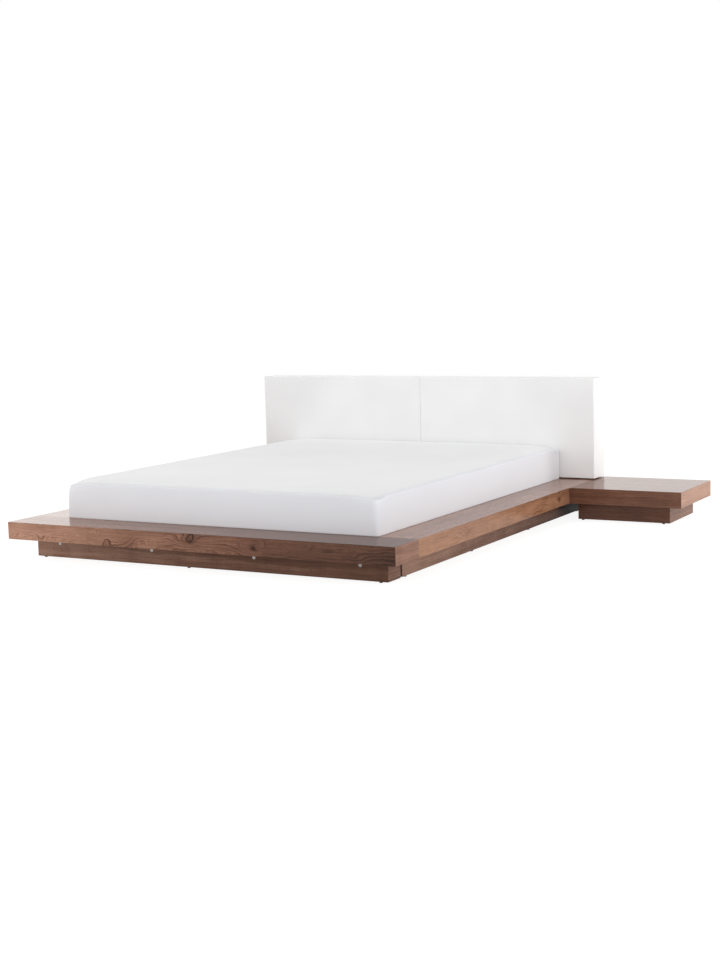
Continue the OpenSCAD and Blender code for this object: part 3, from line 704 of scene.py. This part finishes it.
class BED_OT_raw_boards(bpy.types.Operator):
    """Finish the raw boards that close the boxes"""
    bl_idname = "bed.raw_boards"
    bl_label = "Raw boards"

    def execute(self, context):
        look = context.scene.bed_timber
        material = raw_board(look)
        for node in RAW_BOARDS:
            eased(node, material, "raw_board", look.edge / 3)
        return {"FINISHED"}


class BED_OT_timbers(bpy.types.Operator):
    """Finish the slats, cleats, centre beam and the headboard's timbers"""
    bl_idname = "bed.timbers"
    bl_label = "Timbers"

    def execute(self, context):
        look = context.scene.bed_timber
        for seed, (node, board) in enumerate(TIMBERS.items(), start=40):
            material = wood(f"pine_{node}", node, board, look, seed, lacquered=False)
            eased(node, material, "pine", look.edge)
        return {"FINISHED"}


class BED_OT_fittings(bpy.types.Operator):
    """Finish the locks, bolts, brackets, legs, glides and spacers"""
    bl_idname = "bed.fittings"
    bl_label = "Fittings"

    def execute(self, context):
        look = context.scene.bed_metal
        zinc = metal("zinc_steel", look.zinc, 0.34, 900.0, 0.00002)
        nickel = metal("nickel_zinc", look.nickel, 0.24, 1400.0, 0.00001)
        paint = coat_of_paint("black_steel", look.paint, 0.42, 1100.0, 0.00004)
        plastic = coat_of_paint("black_plastic", look.plastic, 0.50, 1600.0, 0.00003)
        for node in ("beam_hangers", "cam_bolts", "frame_bolts", "slat_screws", "headboard_bolts"):
            eased(node, zinc, "zinc_steel", look.edge)
        eased("cam_locks", nickel, "nickel_zinc", look.edge)
        for node in ("table_brackets", "centre_legs"):
            eased(node, paint, "black_steel", look.edge)
        for node in ("glides", "leg_pads", "headboard_spacers"):
            eased(node, plastic, "black_plastic", 2 * look.edge)
        return {"FINISHED"}


class BED_OT_headboard(bpy.types.Operator):
    """Make the two padded halves of the headboard and their backs"""
    bl_idname = "bed.headboard"
    bl_label = "Headboard"

    def execute(self, context):
        look = context.scene.bed_soft
        material = leather(look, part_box("headboard_cover_right")[1].x)
        for side in ("left", "right"):
            self.make_half(side, material, look)
        eased("headboard_back_panels", material, "white_leather", 0.0015)
        return {"FINISHED"}

    def make_half(self, side, material, look):
        """One half. Its front may swell by crown, it is pad thick before the frame and wrap thick round it,
        and joint is half the gap in the middle."""
        crown = 0.002
        pad = 0.030
        wrap = 0.012
        joint = 0.0001
        node = f"headboard_cover_{side}"
        low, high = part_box(node)
        start = low + Vector((0.0, crown, 0.0))
        stop = high.copy()
        if side == "right":
            start.x = joint
        else:
            stop.x = -joint
        half = block(f"headboard_{side}", start, stop)
        front = start.y
        outer = max(abs(low.x), abs(high.x))
        bevel_edges(half, lambda co: abs(abs(co.x) - outer) < 1e-5 and co.y < front + 1e-5, 0.006, 4)
        bevel_edges(half, lambda co: abs(co.x) < 0.01, 0.0005, 1)
        bevel_edges(half, lambda co: co.z < low.z + 0.001, 0.0018, 2)
        bevel_edges(half, lambda co: True, 0.0035, 3)
        cut_at(half, 0, steps_between(start.x, stop.x, 40))
        cut_at(half, 1, steps_between(start.y, high.y, 6))
        cut_at(half, 2, steps_between(start.z, high.z, 22))
        fill_cover(half, lambda co: co.y > front + 0.002, look, crown)
        modifier(half, "SUBSURF", levels=1, render_levels=1)
        hollow(half, low + Vector((wrap, pad, wrap)), high + Vector((-wrap, wrap, -wrap)))
        smooth(half, 45)
        finish_piece(half, material, "white_leather", "frame", node)


class BED_OT_mattress(bpy.types.Operator):
    """Make the mattress: its cover, filling and base cloth"""
    bl_idname = "bed.mattress"
    bl_label = "Mattress"

    def execute(self, context):
        look = context.scene.bed_soft
        low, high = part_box("mattress_cover")
        material = cloth("mattress_cloth", look.cloth, look.knit, look.border, seam=low.z + SEAM,
                         ends=(low.y, high.y))
        filling = cloth("mattress_filling", look.filling, look.knit)
        self.make_cover(material, look)
        eased("mattress_core", filling, "mattress_filling", 0.004, body="mattress")
        eased("mattress_base_cloth", filling, "mattress_filling", 0.0004, body="mattress")
        return {"FINISHED"}

    def make_cover(self, material, look):
        """A border sewn to a top panel, which rises from the seam in a soft roll and a low crown."""
        low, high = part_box("mattress_cover")
        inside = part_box("mattress_core")
        seam = low.z + SEAM
        middle_y = (low.y + high.y) / 2
        cover = block("mattress", low, Vector((high.x, high.y, seam)))
        at_foot = low.y + 0.01
        bevel_edges(cover, lambda co: co.y < at_foot, TURN, 6, upright=True)
        bevel_edges(cover, lambda co: co.y > high.y - 0.001, 0.012, 4, upright=True)
        bevel_edges(cover, lambda co: co.z < low.z + 0.001, 0.012, 3)
        groove = [(0.0012, -0.0015), (0.0014, 0.0015), (0.0025, 0.0), (0.0035, 0.0)]
        inset_rings(cover, lambda co: co.z > seam - 0.001, groove)
        levels = (0.015, RIM, OVER_RIM, 0.040, 0.050, 0.065, 0.090, 0.115, 0.140, 0.160, 0.175, 0.185, 0.191)
        edges = (0.014, 0.020, 0.028, 0.040)
        cut_at(cover, 2, [low.z + up for up in levels])
        cut_at(cover, 0, [side * (high.x - near) for side in (-1, 1) for near in edges])
        cut_at(cover, 1, [low.y + near for near in edges] + [high.y - near for near in edges])
        cut_at(cover, 0, steps_between(low.x + edges[-1], high.x - edges[-1], 50))
        cut_at(cover, 1, steps_between(low.y + edges[-1], high.y - edges[-1], 62))
        for v in cover.data.vertices:
            self.roll_edge(v.co, low, high, seam, middle_y)
            self.swell(v.co, low, high)
            self.soften(v.co, low, high, seam, middle_y)
        rests = low.z + 0.055
        fill_cover(cover, lambda co: co.z < rests or abs(co.z - seam) < 0.0035, look, 0.0012)
        modifier(cover, "SUBSURF", levels=1, render_levels=1)
        hollow(cover, inside[0] - Vector((0.001, 0.001, 0.01)), inside[1] + Vector((0.001, 0.001, 0.001)))
        smooth(cover, 60)
        finish_piece(cover, material, "mattress_cloth", "mattress", "mattress_cover")

    def roll_edge(self, co, low, high, seam, middle_y):
        """Raises the top panel from its seam in a roll, and crowns it, less at the head's edge."""
        if co.z < seam - 0.0002:
            return
        round_off = 0.060
        groove = 0.0026
        roll = 0.042
        rise = 0.013
        crown = 0.006
        flat = 0.040
        half_y = (high.y - low.y) / 2
        past_x = max(0.0, abs(co.x) - (high.x - round_off))
        past_y = max(0.0, abs(co.y - middle_y) - (half_y - round_off))
        inward = round_off - math.hypot(past_x, past_y)
        share = min(1.0, max(0.0, (inward - groove) / roll))
        co.z += rise * math.sqrt(1 - (1 - share) ** 2)
        side = min(1.0, (abs(co.x) / (high.x - flat)) ** 4)
        end = min(1.0, (abs(co.y - middle_y) / (half_y - flat)) ** 6)
        co.z += crown * (1 - side) * (1 - end * (1.0 if co.y < middle_y else 0.3))

    def swell(self, co, low, high):
        """Lets the wall swell out over the platform's edge, less under the seam and hardly at the head."""
        at_head = 0.0030
        up = min(max(co.z - low.z, RIM), SEAM)
        (start, least), (stop, most) = next(ends for ends in zip(SWELL, SWELL[1:]) if up <= ends[1][0])
        out = least + (most - least) * smooth_step((up - start) / (stop - start))
        across = min(1.0, max(0.0, (abs(co.x) - high.x + TURN) / TURN))
        foot = min(1.0, max(0.0, (low.y + TURN - co.y) / TURN))
        head = min(1.0, max(0.0, (co.y - high.y + TURN) / TURN))
        if across > 0 and foot > 0:
            reach = math.hypot(across, foot)
            square = reach / max(across, foot) - 1.0
            grow = square * (0.7 - 0.5 * (up - RIM) / (SEAM - RIM))
            co.x += math.copysign(across * grow * TURN, co.x)
            co.y -= foot * grow * TURN
            across = min(1.0, across * (1.0 + grow))
            foot = min(1.0, foot * (1.0 + grow))
        co.x += math.copysign(out * across, co.x)
        co.y += min(out, at_head) * head - out * foot

    def soften(self, co, low, high, seam, middle_y):
        """Lets the top's corners sink, and the two at the foot draw in, as a filled cover's do."""
        firm = 0.10
        at_foot = co.y < middle_y
        corner = Vector((math.copysign(CORNER_X, co.x), low.y if at_foot else high.y))
        near = smooth_step(max(0.0, 1.0 - (Vector((co.x, co.y)) - corner).length / CORNER_REACH))
        up = max(0.0, (co.z - low.z - firm) / (seam - low.z - firm))
        if near > 0 and up > 0:
            co.z -= CORNER_SINK * near * up * up
            if at_foot:
                co.x -= math.copysign(0.006, co.x) * near * up ** 4
                co.y += 0.005 * near * up ** 4


# Each lamp's width, height, place and aim
LAMPS = {
    "top": (4.0, 4.0, (0.0, 0.0, 4.0), (0.0, 0.0, 0.2)),
    "side": (1.5, 1.5, (4.5, -0.6, 0.9), (0.6, -0.6, 0.3)),
    "front": (1.2, 1.2, (-2.6, -3.6, 0.5), (-0.5, -1.1, 0.2)),
    "main": (3.0, 3.0, (0.5, -6.0, 1.8), (0.0, -1.0, 0.3)),
    "left": (2.5, 2.5, (-5.0, 0.0, 2.2), (-0.6, 0.0, 0.2)),
    "corner": (1.2, 1.2, (2.9, 2.7, 0.75), (0.85, 1.1, 0.4)),
    "back": (14.0, 4.0, (-4.0, 9.0, 2.6), (0.0, 0.0, 0.3)),
}


class BED_OT_stage(bpy.types.Operator):
    """Set up the floor, lamps, white surroundings and camera"""
    bl_idname = "bed.stage"
    bl_label = "Stage"

    def execute(self, context):
        look = context.scene.bed_stage
        self.make_floor(look)
        self.make_world(context, look)
        self.make_lamps(context, look)
        self.make_camera(context, look)
        context.scene.view_settings.view_transform = "Standard"
        return {"FINISHED"}

    def rays(self, r):
        """1 where a ray comes from the camera or a reflection, 0 where it only lights."""
        path = r.add("ShaderNodeLightPath")
        camera, glossy, clear = (Term(r, path.outputs[f"Is {kind} Ray"])
                                 for kind in ("Camera", "Glossy", "Transmission"))
        return r.math("MAXIMUM", r.math("MAXIMUM", camera, glossy), clear)

    def make_floor(self, look):
        """A floor that lights as a pale one does, and shows white with a faint shadow."""
        bpy.ops.object.select_all(action="DESELECT")
        bpy.ops.mesh.primitive_plane_add(size=look.floor)
        floor = bpy.context.object
        floor.name = "floor"
        r = new_recipe("floor")
        lit = r.add("ShaderNodeBsdfDiffuse", sockets={"Color": grey(0.82)})
        shadow = r.add("ShaderNodeBsdfDiffuse", sockets={"Color": grey(0.24)})
        glow = r.add("ShaderNodeEmission", sockets={"Color": grey(1.0), "Strength": 0.89})
        shown = r.add("ShaderNodeAddShader", sockets={0: shadow.outputs[0], 1: glow.outputs[0]})
        mixed = r.add("ShaderNodeMixShader",
                      sockets={0: self.rays(r), 1: lit.outputs[0], 2: shown.outputs[0]})
        r.add("ShaderNodeOutputMaterial", sockets={"Surface": mixed.outputs[0]})
        floor.data.materials.append(r.owner)

    def make_world(self, context, look):
        """Surroundings that show white and light less."""
        world = bpy.data.worlds.new("white_studio")
        context.scene.world = world
        r = Recipe(world)
        strength = self.rays(r) * (1.0 - look.ambient) + look.ambient
        sky = r.add("ShaderNodeBackground", sockets={"Color": grey(1.0), "Strength": strength})
        r.add("ShaderNodeOutputWorld", sockets={"Surface": sky.outputs[0]})

    def make_lamps(self, context, look):
        """Soft lamps, which no camera sees but the lacquer mirrors."""
        for name, (width, height, place, target) in LAMPS.items():
            data = bpy.data.lights.new(f"{name}_lamp", "AREA")
            data.shape = "RECTANGLE"
            data.size = width
            data.size_y = height
            data.energy = getattr(look, name)
            lamp = bpy.data.objects.new(f"{name}_lamp", data)
            lamp.location = place
            lamp.rotation_euler = (Vector(target) - Vector(place)).to_track_quat("-Z", "Y").to_euler()
            lamp.visible_camera = False
            context.scene.collection.objects.link(lamp)

    def make_camera(self, context, look):
        """The camera, low before the foot on the right."""
        place = (3.82591, -6.58198, 1.19724)
        yaw, pitch, roll = 0.5051, 0.1236, -0.0254
        turn = Matrix.Rotation(yaw, 4, "Z") @ Matrix.Rotation(math.pi / 2 - pitch, 4, "X")
        turn = turn @ Matrix.Rotation(roll, 4, "Z")
        data = bpy.data.cameras.new("camera")
        data.lens = look.lens
        data.sensor_width = 36.0
        data.clip_end = 200.0
        camera = bpy.data.objects.new("camera", data)
        camera.matrix_world = Matrix.Translation(place) @ turn
        context.scene.collection.objects.link(camera)
        context.scene.camera = camera


class BED_PT_panel(bpy.types.Panel):
    """The bed's steps, in the 3D view's sidebar"""
    bl_label = "Bed"
    bl_idname = "BED_PT_panel"
    bl_space_type = "VIEW_3D"
    bl_region_type = "UI"
    bl_category = "Bed"

    def draw(self, context):
        for step in STEPS:
            self.layout.operator(step.bl_idname)


SETTINGS = {
    "bed_veneer": BedVeneerSettings,
    "bed_timber": BedTimberSettings,
    "bed_soft": BedSoftSettings,
    "bed_metal": BedMetalSettings,
    "bed_stage": BedStageSettings,
}
STEPS = (BED_OT_veneered_boards, BED_OT_raw_boards, BED_OT_timbers, BED_OT_fittings, BED_OT_headboard,
         BED_OT_mattress, BED_OT_stage)


def register():
    for kind in (*SETTINGS.values(), *STEPS, BED_PT_panel):
        bpy.utils.register_class(kind)
    for name, kind in SETTINGS.items():
        setattr(bpy.types.Scene, name, PointerProperty(type=kind))


def unregister():
    for name in SETTINGS:
        delattr(bpy.types.Scene, name)
    for kind in reversed((*SETTINGS.values(), *STEPS, BED_PT_panel)):
        bpy.utils.unregister_class(kind)


def main():
    register()
    for step in STEPS:
        group, name = step.bl_idname.split(".")
        getattr(getattr(bpy.ops, group), name)()
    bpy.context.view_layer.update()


if __name__ == "__main__":
    main()
